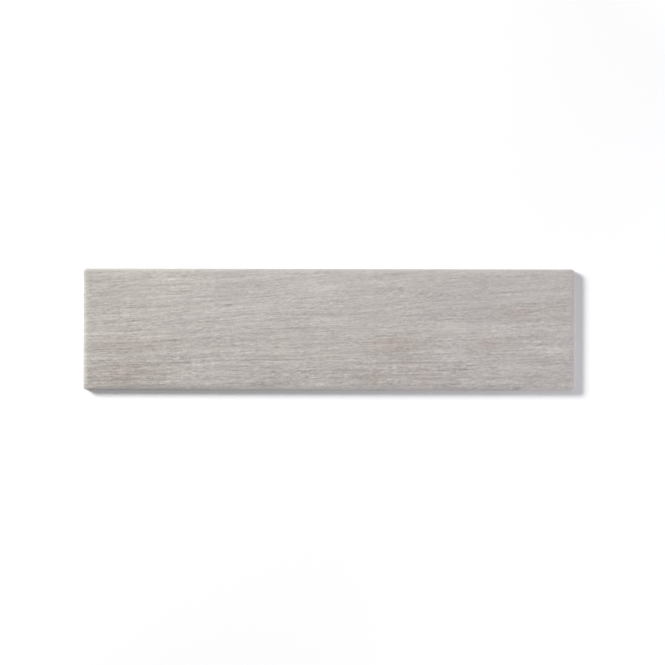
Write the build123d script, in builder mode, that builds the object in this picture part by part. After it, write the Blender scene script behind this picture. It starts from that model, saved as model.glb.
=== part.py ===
from build123d import *
import os

# Plank floor tile, one dry-pressed and fired porcelain piece, in millimetres.
# It lies on its keyed back at z = 0 with the face up, its long way on X, centred on the origin.

# Fired size: a 600 x 150 laying module less a 2 mm joint
length = 598.0
width = 148.0
thickness = 9.0

# Rounding of the four corners in plan
corner_radius = 2.5

# Cushion edge: the face rolls down into the sides over this reach and drop
cushion_reach = 7.5
cushion_drop = 2.5

# Heel: below this height the sides lean in, so that the pressed tile leaves its die
heel_height = 3.0
heel_inset = 0.8

# Keyed back: shallow tapered cells between raised ribs, which the bedding adhesive grips
cell_pitch = 18.0
rib_width = 3.0
cell_depth = 0.8
cell_draft = 30.0

# Least flat rim of the back, from the heel's edge to the first cells
back_rim = 10.0


def half_section(span):
    # From the middle of a span out to one edge: back, heel, upright side, cushion and face
    edge = span / 2
    side_top = thickness - cushion_drop
    back = Line((0, 0), (edge - heel_inset, 0))
    heel = Line(back @ 1, (edge, heel_height))
    Line(heel @ 1, (edge, side_top))
    cushion = EllipticalCenterArc(
        (edge - cushion_reach, side_top), cushion_reach, cushion_drop, arc_size=90
    )
    Line(cushion @ 1, (0, thickness))


def cells_along(span):
    # How many back cells fit a span between its two rims
    return int((span - 2 * (heel_inset + back_rim) + rib_width) // cell_pitch)


with BuildPart() as tile:
    # Blank: the die's plan, pressed up to the full thickness
    with BuildSketch(Plane.XY):
        RectangleRounded(length, width, corner_radius)
    extrude(amount=thickness)

    # Edges: cut to the cross section, then to the long section, so that the cushions mitre
    with BuildSketch(Plane.YZ):
        with BuildLine():
            half_section(width)
            mirror(about=Plane.YZ)
        make_face()
    extrude(amount=length, both=True, mode=Mode.INTERSECT)
    with BuildSketch(Plane.XZ):
        with BuildLine():
            half_section(length)
            mirror(about=Plane.YZ)
        make_face()
    extrude(amount=width, both=True, mode=Mode.INTERSECT)

    # Back: the grid of tapered cells
    with BuildSketch(Plane.XY):
        with GridLocations(cell_pitch, cell_pitch, cells_along(length), cells_along(width)):
            Rectangle(cell_pitch - rib_width, cell_pitch - rib_width)
    extrude(amount=cell_depth, taper=cell_draft, mode=Mode.SUBTRACT)

tile.part.label = "floor_tile"
os.makedirs("parts", exist_ok=True)
export_step(tile.part, "parts/floor_tile.step")
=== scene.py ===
import math
import bmesh
import bpy
import numpy as np
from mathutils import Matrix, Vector


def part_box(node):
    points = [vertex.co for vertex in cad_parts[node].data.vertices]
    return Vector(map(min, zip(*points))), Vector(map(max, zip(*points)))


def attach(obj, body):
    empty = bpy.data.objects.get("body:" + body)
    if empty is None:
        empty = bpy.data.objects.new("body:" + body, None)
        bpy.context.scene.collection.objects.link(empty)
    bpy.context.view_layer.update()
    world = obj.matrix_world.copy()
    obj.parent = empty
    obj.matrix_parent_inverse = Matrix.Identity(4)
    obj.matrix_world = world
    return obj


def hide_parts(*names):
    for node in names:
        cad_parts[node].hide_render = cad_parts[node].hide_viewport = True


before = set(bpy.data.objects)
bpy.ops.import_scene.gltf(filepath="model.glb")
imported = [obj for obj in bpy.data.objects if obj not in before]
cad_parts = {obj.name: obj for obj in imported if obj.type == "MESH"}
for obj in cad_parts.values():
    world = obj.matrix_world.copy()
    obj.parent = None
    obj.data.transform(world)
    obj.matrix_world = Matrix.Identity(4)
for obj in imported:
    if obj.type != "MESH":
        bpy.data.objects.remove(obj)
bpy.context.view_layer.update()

mm = 0.001
tileLow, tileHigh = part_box("floor_tile")
print("frame loaded, tile", [round(v / mm, 1) for v in tileHigh - tileLow], "mm")


# small helpers for building node trees

def feed(tree, socket, value):
    if isinstance(value, bpy.types.NodeSocket):
        tree.links.new(value, socket)
    else:
        socket.default_value = value


def calc(tree, operation, *values):
    n = tree.nodes.new("ShaderNodeMath")
    n.operation = operation
    for socket, value in zip(n.inputs, values):
        feed(tree, socket, value)
    return n.outputs[0]


def times(tree, value, factor):
    return calc(tree, "MULTIPLY", value, factor)


def total(tree, *values):
    result = values[0]
    for value in values[1:]:
        result = calc(tree, "ADD", result, value)
    return result


def weighted(tree, layers, weights):
    return total(tree, *[times(tree, layers[name], weight) for name, weight in weights.items()])


def smoothStep(tree, value, low, high, toLow=0.0, toHigh=1.0):
    n = tree.nodes.new("ShaderNodeMapRange")
    n.interpolation_type = "SMOOTHSTEP"
    for socket, item in zip(n.inputs, (value, low, high, toLow, toHigh)):
        feed(tree, socket, item)
    return n.outputs[0]


def noiseAt(tree, along, across, depth, detail=1.0):
    place = tree.nodes.new("ShaderNodeCombineXYZ")
    for socket, value in zip(place.inputs, (along, across, depth)):
        feed(tree, socket, value)
    n = tree.nodes.new("ShaderNodeTexNoise")
    n.noise_dimensions = "3D"
    feed(tree, n.inputs["Vector"], place.outputs[0])
    n.inputs["Scale"].default_value = 1.0
    n.inputs["Detail"].default_value = detail
    return times(tree, calc(tree, "SUBTRACT", n.outputs[0], 0.5), 8.0)  # about -2 to 2


# wood grain of the face, shared by the pressed relief and the printed colour (mm)
grain = {
    "rise": 0.072,  # the grain climbs to the right by this much
    "riseAcross": 0.00036,  # more of it towards the far side
    "riseAlong": -0.00004,  # and less towards the right end
    "bend": (1.1, 170.0, 60.0),  # how far it wanders, over what length and width
    "wiggle": (0.2, 38.0, 14.0),
    "wanderDepth": 40.0,  # depth in the noise
    "layers": {  # length along the grain, width across it, depth in the noise, detail, share of the climb
        "bands": (260.0, 17.0, 1.3, 2.0, 0.25),
        "figure": (36.0, 14.0, 5.7, 2.0, 0.25),
        "streaks": (120.0, 4.2, 9.1, 1.0, 0.35),
        "fibres": (85.0, 2.2, 14.6, 1.0, 0.7),
        "dashes": (14.0, 1.9, 17.8, 0.0, 1.2),
        "hairs": (6.0, 1.4, 21.2, 0.0, 1.5),
        "grit": (1.7, 1.7, 33.4, 0.0, 1.0),
        "poreLines": (62.0, 2.5, 51.0, 1.0, 0.7),
        "poreBreaks": (12.0, 2.6, 57.0, 0.0, 0.9),
        "ridgeLines": (55.0, 2.8, 63.0, 1.0, 0.7),
        "ridgeBreaks": (11.0, 3.0, 69.0, 0.0, 0.9),
        "patches": (70.0, 14.0, 75.0, 1.0, 0.5),
    },
    "threads": {"pores": ("poreLines", "poreBreaks"), "ridges": ("ridgeLines", "ridgeBreaks")},
    "threadWidth": 0.62,  # share of the noise that a pore or ridge takes up
    "threadBreaks": (-0.8, 0.9),  # where the breaks let it show
    # height in the mesh, and finer height in the bump
    "relief": {"figure": 0.020, "streaks": 0.040, "fibres": 0.036, "pores": -0.02, "ridges": 0.015},
    "fineRelief": {"dashes": 0.010, "hairs": 0.012, "grit": 0.008, "pores": -0.02, "ridges": 0.015},
    "lineDepth": 0.09,
    "ridgeHeight": 0.07,
    "sunk": 0.16,  # the mean level below the highest ridges
    "edgeFade": (0.5, 6.0),  # the relief fades out over this much of the rolled edge
}


def grainLayers(tree, position):
    inMm = tree.nodes.new("ShaderNodeVectorMath")
    inMm.operation = "SCALE"
    feed(tree, inMm.inputs[0], position)
    inMm.inputs["Scale"].default_value = 1 / mm
    split = tree.nodes.new("ShaderNodeSeparateXYZ")
    tree.links.new(inMm.outputs[0], split.inputs[0])
    x, y, z = split.outputs
    climb = times(tree, x, total(tree, grain["rise"], times(tree, y, grain["riseAcross"]),
                                 times(tree, x, grain["riseAlong"])))
    wander = 0.0
    for depth, name in enumerate(("bend", "wiggle")):
        reach, length, width = grain[name]
        noise = noiseAt(tree, times(tree, x, 1 / length), times(tree, y, 1 / width),
                        grain["wanderDepth"] + depth)
        wander = calc(tree, "ADD", times(tree, noise, reach), wander)
    level = calc(tree, "SUBTRACT", y, wander)
    layers = {}
    for name, (length, width, depth, detail, share) in grain["layers"].items():
        across = calc(tree, "SUBTRACT", level, times(tree, climb, share))
        layers[name] = noiseAt(tree, times(tree, x, 1 / length), times(tree, across, 1 / width),
                               depth, detail)
    for name, (lines, breaks) in grain["threads"].items():
        # thin lines where the noise passes zero, broken into short lengths
        line = smoothStep(tree, calc(tree, "ABSOLUTE", layers[lines]), 0.0, grain["threadWidth"], 1.0, 0.0)
        layers[name] = times(tree, line, smoothStep(tree, layers[breaks], *grain["threadBreaks"]))
    return layers, (x, y, z)


# marks on the face, mostly print, some of them painted light, shade and reflection on the edges: centre x, y,
# half length, half width in mm, lean in degrees, strength
faceMarks = {
    "stain": [
        (-240, -17.5, 46, 9, 2, 1.0), (-250, -53, 46, 18, 3, 1.0), (-140, -22, 12, 4, 2, 0.5),
        (79, -17.5, 41, 10, 2, 1.1), (96, -40, 22, 10, 0, 0.8), (57, -57, 14, 9, 0, 1.1),
        (112, -58, 14, 10, 0, 0.9), (194, -16.5, 16, 8, 3, 1.2), (232, 22, 22, 7, 3, 1.0),
        (282, 23, 18, 7, 3, 0.8),
    ],
    "ochre": [(-60, -24, 16, 13, 3, 0.8), (-1, -27, 13, 8, 3, 0.8)],
    # painted reflection: a paler, cooler rim along the lit left and far edges
    "paintedRimReflection": [(-300, 0, 4, 300, 0, 1.0), (0, 75, 900, 3, 0, 1.0)],
    "shade": [
        (-245, -52, 75, 22, 2, 0.9), (95, -50, 70, 26, 0, 0.6), (-23, 18.5, 75, 3.0, 1, 0.7),
        (190, 25, 120, 11, 2, 0.6), (0, -17, 330, 6, 0, 0.25), (0, -66, 330, 16, 0, 0.55),
        # the second mark on the next line is painted shade on the near rolled edge at its left end
        (150, 44, 80, 22, 2, 0.3), (-225, -73.2, 150, 6, 1.2, 1.6), (229, -71.5, 6, 2.2, 0, 2.8),
        (-285, 64, 36, 14, 0, 0.6), (146, -58, 30, 14, 0, 1.2), (-275, 40, 60, 32, 0, 0.3),
        # the second mark on the next line is painted shade along the far rolled edge
        (236, -60, 26, 12, 0, 0.8), (140, 75, 270, 5, 0, 0.6),
        (-222, -69, 64, 1.8, 0.5, 2.4),
    ],
    "pale": [
        (-48, 12, 130, 17, 1, 0.9), (130, 2, 90, 8, 1, 0.9), (255, -18, 45, 12, 1, 0.6),
        (-194, 42, 28, 24, 3, 0.8), (-22, -14, 80, 14, 1, 0.7), (-22, 43, 36, 20, 2, 0.9),
        # the last mark on the next line is painted light on the right rolled edge
        (-45, -58, 42, 13, 0, 0.7), (205, -3, 50, 11, 1, 0.8), (300, 0, 8, 300, 0, 1.0),
        (-298, -60, 6, 14, 0, 1.4),
    ],
    "fleck": [
        (-16, 43.4, 5, 2.0, 37, 0.9), (-7, 48.2, 8, 1.8, 27, 1.2), (5, 52.4, 10, 1.6, 10, 1.0),
        (13, 54.6, 6, 1.6, 15, 0.9), (-13, 37, 6, 4, 30, 0.5), (116, 50, 15, 1.6, 28, 0.6),
        (-163, 6, 9, 1.2, 32, 0.8),
    ],
    "line": [
        (-243, 29, 12, 0.9, 1, 0.9), (-250, -11, 14, 1.0, 1, 0.7), (-195, -14.5, 22, 0.8, 2, 0.8),
        (-192, -23, 12, 0.9, 1, 0.7), (-290, -25, 8, 1.2, 0, 0.8), (-58, 10, 13, 0.9, 2, 0.9),
        (6, 57.6, 14, 1.0, 0, 1.1), (24.5, 59.1, 6, 0.9, 0, 0.8), (-36, 18.9, 66, 0.9, 1, 0.6),
        (-41, -22, 12, 0.9, 0, 0.8),
        (12, -21.5, 32, 0.8, 1, 0.6), (-80, -36.7, 38, 0.9, 1, 0.9), (-80, -41, 32, 0.8, 0, 0.8),
        (-62, -52, 20, 0.8, 0, 0.6), (-72, -58, 34, 0.9, 0, 0.6), (72, -8, 26, 0.9, 1, 0.7),
        (218, 41.5, 24, 0.9, 0, 0.6), (266, 6, 34, 0.8, 1, 0.7), (178, -2.5, 18, 0.8, 2, 0.6),
        (226, -10.5, 16, 0.9, 0, 0.5), (174, -48, 17, 0.8, 0, 0.7), (257, -38, 14, 0.8, 2, 0.6),
    ],
    "ridge": [
        (-199, -2.5, 17, 0.8, 1, 0.8), (-152, 37, 15, 0.9, 2, 0.8), (-106, -9.5, 12, 0.8, 1, 0.8),
        (-104, -35.5, 12, 0.8, 1, 0.7), (-62, -33, 14, 0.8, 1, 0.7), (256, 7.5, 32, 0.8, 1, 0.7),
        (38, -33, 15, 0.9, 3, 0.6), (158, 44, 10, 0.8, 2, 0.7),
    ],
}


def paintMarks(x, y, marks):
    # soft ellipses, the stronger one where two meet
    painted = np.zeros_like(x)
    for cx, cy, length, width, lean, strength in marks:
        c, s = math.cos(math.radians(lean)), math.sin(math.radians(lean))
        u = ((x - cx) * c + (y - cy) * s) / length
        v = ((y - cy) * c - (x - cx) * s) / width
        painted = np.maximum(painted, strength * np.exp(-(u * u + v * v) ** 1.5))
    return painted


# the pressed body (mm)
tileShape = {
    "cushionReach": 7.5,
    "cushionDrop": 2.5,
    "cornerRadius": 4.5,
    "cornerDome": (0.62, 15.0),  # how much the roll dips at the corners, and how far from their middle
    # height and inset of the rings down the sides
    "sideRings": [(5.0, 0.0), (3.0, 0.0), (1.6, 0.373), (0.35, 0.72), (0.1, 0.82), (0.0, 1.0)],
    "cellPitch": 18.0,
    "ribWidth": 3.0,
    "cellRings": [(0.1, 0.06), (0.36, 0.66), (0.46, 0.76), (0.7, 0.8)],  # inset, depth
    "cells": (32, 7),
    "rollSteps": 9,
    "columns": 280,
    "rows": 256,
    "sharpAngle": 50.0,  # edges steeper than this stay crisp, degrees
    # where the pieces of the skin lie on the baked sheet
    "bakeRows": {"top": (0.36, 0.995), "back": (0.14, 0.34), "sides": ((0.075, 0.125), (0.01, 0.06))},
    "bakeMargin": 0.005,
}


def ladder(half, steps):
    # grid lines across one way: close together in the rolled edges, even between them
    reach = tileShape["cushionReach"]
    turns = np.linspace(0, math.pi / 2, tileShape["rollSteps"])[:-1]
    roll = reach * (1 - np.cos(turns))
    middle = np.linspace(-half + reach, half - reach, steps + 1)
    return np.concatenate([-half + roll, middle, (half - roll)[::-1]])


def rollHeight(depthIn, thickness):
    # from the top of the sides up to the mean level of the face
    reach, drop = tileShape["cushionReach"], tileShape["cushionDrop"]
    left = np.clip((reach - depthIn) / reach, 0, 1)
    return thickness - drop + (drop - grain["sunk"]) * np.sqrt(1 - left * left)


def makeTileMesh():
    halfX, halfY = tileHigh.x / mm, tileHigh.y / mm
    thickness = tileHigh.z / mm
    radius = tileShape["cornerRadius"]
    margin = tileShape["bakeMargin"]
    xs, ys = ladder(halfX, tileShape["columns"]), ladder(halfY, tileShape["rows"])
    nx, ny = len(xs), len(ys)
    x, y = np.meshgrid(xs, ys, indexing="ij")

    # the corners of the grid are drawn in to a round plan
    u = np.clip(1 - (halfX - np.abs(x)) / radius, 0, 1)
    v = np.clip(1 - (halfY - np.abs(y)) / radius, 0, 1)
    roundU, roundV = u * np.sqrt(1 - v * v / 2), v * np.sqrt(1 - u * u / 2)
    x = np.sign(x) * (np.abs(x) - radius * (u - roundU))
    y = np.sign(y) * (np.abs(y) - radius * (v - roundV))
    inX, inY = halfX - np.abs(x), halfY - np.abs(y)
    inward = np.where((u > 0) & (v > 0), radius * (1 - np.hypot(roundU, roundV)), np.minimum(inX, inY))
    dip, spread = tileShape["cornerDome"]
    z = rollHeight(inward * (1 - dip * np.clip(1 - np.abs(inX - inY) / spread, 0, 1) ** 2), thickness)
    verts = [np.stack([x.ravel(), y.ravel(), z.ravel()], 1)]
    index = np.arange(nx * ny).reshape(nx, ny)
    faces, corners = [], []
    low, high = tileShape["bakeRows"]["top"]
    topPlace = np.stack([(x.ravel() / halfX + 1) / 2 * (1 - 2 * margin) + margin,
                         low + (high - low) * (y.ravel() / halfY + 1) / 2], 1)
    quads = np.stack([index[:-1, :-1], index[1:, :-1], index[1:, 1:], index[:-1, 1:]], -1).reshape(-1, 4)
    faces += quads.tolist()
    corners.append(topPlace[quads.ravel()])

    # rings of points down the sides to the back
    edge = np.concatenate([index[:-1, 0], index[-1, :-1], index[:0:-1, -1], index[0, :0:-1]])
    rim = verts[0][edge]
    inner = np.clip(rim[:, :2], [radius - halfX, radius - halfY], [halfX - radius, halfY - radius])
    outward = (rim[:, :2] - inner) / radius
    count = len(edge)
    steps = np.linalg.norm(np.roll(rim[:, :2], -1, 0) - rim[:, :2], axis=1)
    along = np.concatenate([[0], np.cumsum(steps)])
    heights = [thickness - tileShape["cushionDrop"]] + [h for h, _ in tileShape["sideRings"]]
    above = edge
    for ring, (height, inset) in enumerate(tileShape["sideRings"]):
        below = nx * ny + ring * count + np.arange(count)
        verts.append(np.column_stack([rim[:, :2] - outward * inset, np.full(count, height)]))
        for k in range(count):
            after = (k + 1) % count
            faces.append([above[k], below[k], below[after], above[after]])
            row = 0 if along[k] < along[-1] / 2 else 1
            low, high = tileShape["bakeRows"]["sides"][row]
            share = [(along[i] - row * along[-1] / 2) / (along[-1] / 2) for i in (k, k + 1)]
            span = [part * (1 - 3 * margin) + margin for part in share]
            up = [low + (high - low) * heights[r] / heights[0] for r in (ring, ring + 1)]
            corners.append([(span[0], up[0]), (span[0], up[1]), (span[1], up[1]), (span[1], up[0])])
        above = below

    # the keyed back: ribs as a lattice, and a tapered cell in each opening
    pitch, rib = tileShape["cellPitch"], tileShape["ribWidth"]
    low, high = tileShape["bakeRows"]["back"]

    def backPlace(p):
        across = (p[0] / halfX + 1) / 2 * (1 - 2 * margin) + margin
        return (across, low + (high - low) * (p[1] / halfY + 1) / 2)

    lines = []
    for number in tileShape["cells"]:
        starts = np.arange(number) * pitch - (number * pitch - rib) / 2
        lines.append(np.sort(np.concatenate([starts, starts + pitch - rib])))
    start = sum(len(v) for v in verts)
    gx, gy = np.meshgrid(*lines, indexing="ij")
    lattice = np.column_stack([gx.ravel(), gy.ravel(), np.zeros(gx.size)])
    verts.append(lattice)
    grid = start + np.arange(gx.size).reshape(gx.shape)
    backFaces, points = [], [lattice]
    extra = start + gx.size
    for i in range(gx.shape[0] - 1):
        for j in range(gx.shape[1] - 1):
            ring = [grid[i, j], grid[i, j + 1], grid[i + 1, j + 1], grid[i + 1, j]]
            if i % 2 or j % 2:
                backFaces.append(ring)
                continue
            mouth = lattice[[k - start for k in ring]]
            toMiddle = np.sign(mouth.mean(0) - mouth)
            for inset, depth in tileShape["cellRings"]:
                level = mouth + toMiddle * inset
                level[:, 2] = depth
                points.append(level)
                verts.append(level)
                deeper = [extra, extra + 1, extra + 2, extra + 3]
                extra += 4
                for k in range(4):
                    backFaces.append([ring[k], ring[(k + 1) % 4], deeper[(k + 1) % 4], deeper[k]])
                ring = deeper
            backFaces.append(ring)
    points = np.concatenate(points)
    for face in backFaces:
        corners.append([backPlace(points[k - start]) for k in face])
    faces += backFaces

    allVerts = np.concatenate(verts) * mm
    mesh = bpy.data.meshes.new("plankTile")
    mesh.from_pydata(allVerts.tolist(), [], [list(map(int, f)) for f in faces])
    layer = mesh.uv_layers.new(name="OFBake")
    places = np.concatenate([np.asarray(c, float).reshape(-1, 2) for c in corners])
    layer.data.foreach_set("uv", places.ravel())

    # the flat rim of the back closes the gap between the last ring and the ribs
    bm = bmesh.new()
    bm.from_mesh(mesh)
    openEdges = [e for e in bm.edges if len(e.link_faces) == 1]
    made = bmesh.ops.triangle_fill(bm, use_beauty=True, edges=openEdges, normal=(0, 0, -1))["geom"]
    bake = bm.loops.layers.uv["OFBake"]
    for f in made:
        if isinstance(f, bmesh.types.BMFace):
            for corner in f.loops:
                corner[bake].uv = backPlace(corner.vert.co / mm)
    bmesh.ops.recalc_face_normals(bm, faces=bm.faces)
    leaks = sum(len(e.link_faces) != 2 for e in bm.edges)
    bm.to_mesh(mesh)
    bm.free()

    # what the relief and the colour read: how far in from the edge, and the marks
    fields = {"inward": inward.ravel()}
    for name, marks in faceMarks.items():
        fields[name] = paintMarks(x.ravel(), y.ravel(), marks)
    for name, values in fields.items():
        padded = np.zeros(len(mesh.vertices))
        padded[:nx * ny] = values
        mesh.attributes.new(name, "FLOAT", "POINT").data.foreach_set("value", padded)
    mesh.polygons.foreach_set("use_smooth", np.ones(len(mesh.polygons), bool))
    mesh.set_sharp_from_angle(angle=math.radians(tileShape["sharpAngle"]))
    print("tile mesh", len(mesh.vertices), "points", len(mesh.polygons), "faces", leaks, "open edges")
    return mesh


def pressGrain(piece):
    # the grain relief, pressed into the face and fading out down the rolled edge
    tree = bpy.data.node_groups.new("pressedGrain", "GeometryNodeTree")
    tree.interface.new_socket("Geometry", in_out="INPUT", socket_type="NodeSocketGeometry")
    tree.interface.new_socket("Geometry", in_out="OUTPUT", socket_type="NodeSocketGeometry")
    inlet, outlet = tree.nodes.new("NodeGroupInput"), tree.nodes.new("NodeGroupOutput")
    position = tree.nodes.new("GeometryNodeInputPosition").outputs[0]

    def stored(name):
        n = tree.nodes.new("GeometryNodeInputNamedAttribute")
        n.data_type = "FLOAT"
        n.inputs["Name"].default_value = name
        return n.outputs[0]

    layers, _ = grainLayers(tree, position)
    height = total(tree, weighted(tree, layers, grain["relief"]),
                   times(tree, stored("fleck"), grain["ridgeHeight"]),
                   times(tree, stored("ridge"), grain["ridgeHeight"]),
                   times(tree, stored("line"), -grain["lineDepth"]))
    fade = smoothStep(tree, stored("inward"), *grain["edgeFade"])
    lift = times(tree, times(tree, calc(tree, "MINIMUM", height, grain["sunk"]), fade), mm)
    up = tree.nodes.new("ShaderNodeCombineXYZ")
    tree.links.new(lift, up.inputs[2])
    move = tree.nodes.new("GeometryNodeSetPosition")
    tree.links.new(inlet.outputs[0], move.inputs["Geometry"])
    tree.links.new(up.outputs[0], move.inputs["Offset"])
    tree.links.new(move.outputs[0], outlet.inputs[0])
    piece.modifiers.new("pressedGrain", "NODES").node_group = tree
    bpy.context.view_layer.objects.active = piece
    bpy.ops.object.modifier_apply(modifier="pressedGrain")
    bpy.data.node_groups.remove(tree)


# the fired finish: matt printed glaze on the face, bare body below it
finish = {
    "tintSpan": (-260.0, 200.0),  # where the left tint ends and the right one starts, mm
    "faceLeft": (0.499, 0.469, 0.435),  # warmer at the left end, cooler at the right
    "faceRight": (0.501, 0.471, 0.446),
    "stain": (0.470, 0.416, 0.382),
    "ochre": (0.497, 0.464, 0.418),
    "stainBreaks": (-1.8, 1.8, 1.0, 0.6),  # the grain that breaks up a stain, and how much is left of it
    "paintedRimReflection": (0.500, 0.488, 0.472),  # painted reflection: a thin paler, cooler rim along the left and far edges, which face the key light
    "body": (0.235, 0.215, 0.190),
    "cloudSize": (16.0, 16.0, 5.0),  # mm along x, y and z
    "speckSize": (0.7, 0.7, 0.7),
    "bodyTone": {"cloud": 0.018, "speck": 0.02},
    "slowPrint": {"bands": 0.030, "figure": 0.020},
    "print": {"streaks": 0.022, "fibres": 0.054, "dashes": 0.030, "hairs": 0.049, "grit": 0.034,
              "pores": -0.108, "ridges": 0.088},
    "patchRange": (-1.5, 1.5),
    "patchContrast": (0.8, 1.2),  # weakest and strongest of the print, in patches
    "edgeContrast": 0.4,  # and on the rolled edge
    "contrastAlong": -0.00045,  # the print is stronger at the left end
    "contrastAcross": -0.0022,  # and on the near side
    # the marks are lighter or darker by
    "marks": {"shade": -0.10, "pale": 0.06, "fleck": 0.10, "line": -0.15, "ridge": 0.11},
    "edgeHighlight": 0.015,  # painted highlight: the rolled edge is lighter by this much
    "edgeHighlightSpan": (2.0, 9.0),  # fading out between these distances from the edge, mm
    "toneAlong": 0.00001,  # and by this much for each mm to the right, painted light that evens out the fall of the lamps' light towards the right end
    "toneAcross": 0.0004,  # or to the far side
    "glazeLine": (6.2, 7.2),  # the glaze ends at the foot of the rolled edge, between these heights, mm
    "glazeWander": 0.1,
    "roughness": 0.62,
    "roughnessBy": {"streaks": -0.012, "speck": 0.015},
    "speckHeight": 0.004,  # mm
}


def firedMaterial():
    mat = bpy.data.materials.new("firedPorcelain")
    mat.use_nodes = True
    tree = mat.node_tree
    shader = tree.nodes["Principled BSDF"]
    place = tree.nodes.new("ShaderNodeTexCoord").outputs["Object"]
    layers, (x, y, z) = grainLayers(tree, place)

    def stored(name):
        n = tree.nodes.new("ShaderNodeAttribute")
        n.attribute_name = name
        return n.outputs["Fac"]

    def blendColour(factor, a, b):
        n = tree.nodes.new("ShaderNodeMix")
        n.data_type = "RGBA"
        feed(tree, n.inputs["Factor"], factor)
        for socket, value in ((n.inputs[6], a), (n.inputs[7], b)):
            feed(tree, socket, value if isinstance(value, bpy.types.NodeSocket) else (*value, 1.0))
        return n.outputs[2]

    def brighten(colour, by):
        n = tree.nodes.new("ShaderNodeVectorMath")
        n.operation = "SCALE"
        feed(tree, n.inputs[0], colour)
        feed(tree, n.inputs["Scale"], by)
        return n.outputs[0]

    # printed face: grain tone, slow shades, stains that break up along the grain, and painted light, shade
    # and reflection on the edges
    inward, reach = stored("inward"), tileShape["cushionReach"]
    patches = smoothStep(tree, layers["patches"], *finish["patchRange"], *finish["patchContrast"])
    contrast = total(tree, 1.0, times(tree, x, finish["contrastAlong"]),
                     times(tree, y, finish["contrastAcross"]))
    contrast = times(tree, contrast, patches)
    contrast = times(tree, contrast, smoothStep(tree, inward, 0.0, reach, finish["edgeContrast"], 1.0))
    tone = total(tree, 1.0, weighted(tree, layers, finish["slowPrint"]),
                 times(tree, weighted(tree, layers, finish["print"]), contrast),
                 # painted highlight on the rolled edge
                 smoothStep(tree, inward, *finish["edgeHighlightSpan"], finish["edgeHighlight"], 0.0),
                 # the marks, some of them painted shade and painted light on the rolled edges
                 weighted(tree, {name: stored(name) for name in finish["marks"]}, finish["marks"]),
                 # the first of these is painted light that evens out the fall of the lamps' light towards the
                 # right end
                 times(tree, x, finish["toneAlong"]), times(tree, y, finish["toneAcross"]))
    broken = smoothStep(tree, total(tree, layers["figure"], layers["streaks"]), *finish["stainBreaks"])
    face = blendColour(smoothStep(tree, x, *finish["tintSpan"]), finish["faceLeft"], finish["faceRight"])
    face = blendColour(times(tree, stored("stain"), broken), face, finish["stain"])
    face = blendColour(times(tree, stored("ochre"), broken), face, finish["ochre"])
    # painted reflection on the lit left and far rims
    face = blendColour(stored("paintedRimReflection"), face, finish["paintedRimReflection"])
    face = brighten(face, tone)

    # bare body: cloudy, with fine specks
    def bodyNoise(size, detail):
        return noiseAt(tree, *[times(tree, way, 1 / step) for way, step in zip((x, y, z), size)], detail)

    cloud = bodyNoise(finish["cloudSize"], 3.0)
    speck = bodyNoise(finish["speckSize"], 1.0)
    bodyTone = weighted(tree, {"cloud": cloud, "speck": speck}, finish["bodyTone"])
    body = brighten(finish["body"], total(tree, 1.0, bodyTone))

    glazed = smoothStep(tree, total(tree, z, times(tree, cloud, finish["glazeWander"])), *finish["glazeLine"])
    tree.links.new(blendColour(glazed, body, face), shader.inputs["Base Color"])
    roughness = weighted(tree, {"streaks": layers["streaks"], "speck": speck}, finish["roughnessBy"])
    feed(tree, shader.inputs["Roughness"], total(tree, finish["roughness"], roughness))

    bump = tree.nodes.new("ShaderNodeBump")
    bump.inputs["Strength"].default_value = 1.0
    bump.inputs["Distance"].default_value = mm
    grainHeight = times(tree, weighted(tree, layers, grain["fineRelief"]), glazed)
    feed(tree, bump.inputs["Height"], total(tree, grainHeight, times(tree, speck, finish["speckHeight"])))
    tree.links.new(bump.outputs[0], shader.inputs["Normal"])
    return mat


plank = bpy.data.objects.new("plankTile", makeTileMesh())
bpy.context.collection.objects.link(plank)
pressGrain(plank)
plank.data.materials.append(firedMaterial())
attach(plank, "root")
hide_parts("floor_tile")
print("grain pressed and fired,", sum(len(p.vertices) - 2 for p in plank.data.polygons), "triangles")

# floor and light (metres; a lamp's size is its width and height)
studio = {
    "floorSize": 12.0,
    "floorColour": (0.97, 0.97, 0.97),
    "floorLift": (0.080, 1.0),  # the floor's own white in view, by the tile and far from it
    "liftFrom": (0.5, 1.1),
    "key": {"from": (-3.62, 2.03, 1.97), "aim": (0, 0, 0), "size": (2.1, 1.25), "power": 325.8,
            "colour": (0.997, 1.004, 0.988), "shadow": True},
    "sideCard": {"from": (1.25, -0.12, 0.16), "aim": (0.25, 0, 0), "size": (0.36, 0.36), "power": 5.6,
                 "colour": (1.0, 0.975, 1.07), "shadow": False},
    "frontCard": {"from": (0.70, -0.88, 0.13), "aim": (0.25, 0, 0), "size": (0.36, 0.36), "power": 5.4,
                  "colour": (1.0, 0.975, 1.07), "shadow": False},
    "room": (0.068, 0.285),  # weakest and strongest light of the room
    "roomFrom": (0.35, 0.45, 0.82),  # where it is strongest
    "roomSpan": (-0.5, 1.0),
    "roomColour": (1.0, 0.985, 1.035),
}


def inView(tree):
    # 1 for what the camera sees, straight or by way of a gloss
    path = tree.nodes.new("ShaderNodeLightPath").outputs
    return calc(tree, "MAXIMUM", path["Is Camera Ray"],
                calc(tree, "MAXIMUM", path["Is Glossy Ray"], path["Is Transmission Ray"]))


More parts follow.
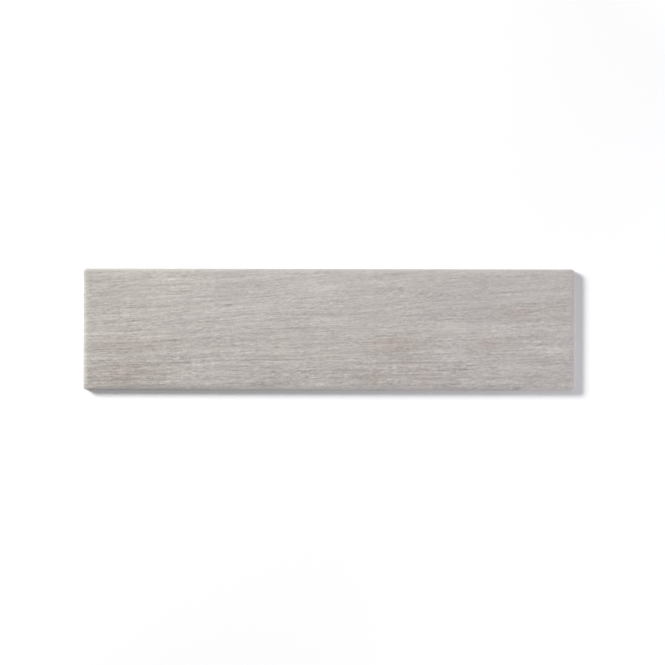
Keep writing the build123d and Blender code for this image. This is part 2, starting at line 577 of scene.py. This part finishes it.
def makeFloor():
    half = studio["floorSize"] / 2
    mesh = bpy.data.meshes.new("studioFloor")
    corners = [(-half, -half, 0), (half, -half, 0), (half, half, 0), (-half, half, 0)]
    mesh.from_pydata(corners, [], [(0, 1, 2, 3)])
    floor = bpy.data.objects.new("studioFloor", mesh)
    bpy.context.collection.objects.link(floor)
    mat = bpy.data.materials.new("paleFloor")
    mat.use_nodes = True
    tree = mat.node_tree
    shader = tree.nodes["Principled BSDF"]
    shader.inputs["Base Color"].default_value = (*studio["floorColour"], 1.0)
    shader.inputs["Roughness"].default_value = 1.0
    shader.inputs["Specular IOR Level"].default_value = 0.0
    shader.inputs["Emission Color"].default_value = (1, 1, 1, 1)
    place = tree.nodes.new("ShaderNodeTexCoord").outputs["Object"]
    away = tree.nodes.new("ShaderNodeVectorMath")
    away.operation = "LENGTH"
    feed(tree, away.inputs[0], place)
    lift = smoothStep(tree, away.outputs["Value"], *studio["liftFrom"], *studio["floorLift"])
    feed(tree, shader.inputs["Emission Strength"], times(tree, inView(tree), lift))
    mesh.materials.append(mat)


def makeLamp(name):
    setting = studio[name]
    light = bpy.data.lights.new(name + "Lamp", "AREA")
    light.shape = "ELLIPSE"
    light.size, light.size_y = setting["size"]
    light.energy = setting["power"]
    light.color = setting["colour"]
    light.use_shadow = setting["shadow"]
    lamp = bpy.data.objects.new(name + "Lamp", light)
    lamp.location = setting["from"]
    back = Vector(setting["from"]) - Vector(setting["aim"])
    lamp.rotation_euler = back.to_track_quat("Z", "Y").to_euler()
    lamp.visible_camera = False
    lamp.visible_glossy = False
    bpy.context.collection.objects.link(lamp)


def makeRoom():
    world = bpy.data.worlds.new("softRoom")
    bpy.context.scene.world = world
    world.use_nodes = True
    tree = world.node_tree
    back = tree.nodes["Background"]
    back.inputs["Color"].default_value = (*studio["roomColour"], 1.0)
    way = tree.nodes.new("ShaderNodeTexCoord").outputs["Generated"]
    dot = tree.nodes.new("ShaderNodeVectorMath")
    dot.operation = "DOT_PRODUCT"
    feed(tree, dot.inputs[0], way)
    dot.inputs[1].default_value = Vector(studio["roomFrom"]).normalized()
    light = smoothStep(tree, dot.outputs["Value"], *studio["roomSpan"], *studio["room"])
    mix = tree.nodes.new("ShaderNodeMix")
    feed(tree, mix.inputs[0], inView(tree))
    feed(tree, mix.inputs[2], light)
    feed(tree, mix.inputs[3], 1.0)
    feed(tree, back.inputs["Strength"], mix.outputs[0])


makeFloor()
makeLamp("key")
makeLamp("sideCard")
makeLamp("frontCard")
makeRoom()

# camera, straight above with a long lens (mm)
shot = {"height": 3000.0, "fieldWidth": 809.5, "aim": (4.48, -3.45), "roll": 0.13}
cam = bpy.data.cameras.new("mainCamera")
cam.sensor_width = 36.0
cam.lens = cam.sensor_width * (shot["height"] - tileHigh.z / mm) / shot["fieldWidth"]
eye = bpy.data.objects.new("mainCamera", cam)
eye.location = (shot["aim"][0] * mm, shot["aim"][1] * mm, shot["height"] * mm)
eye.rotation_euler = (0, 0, math.radians(shot["roll"]))
bpy.context.collection.objects.link(eye)
bpy.context.scene.camera = eye
bpy.context.scene.view_settings.view_transform = "Standard"
print("floor, light and camera set")
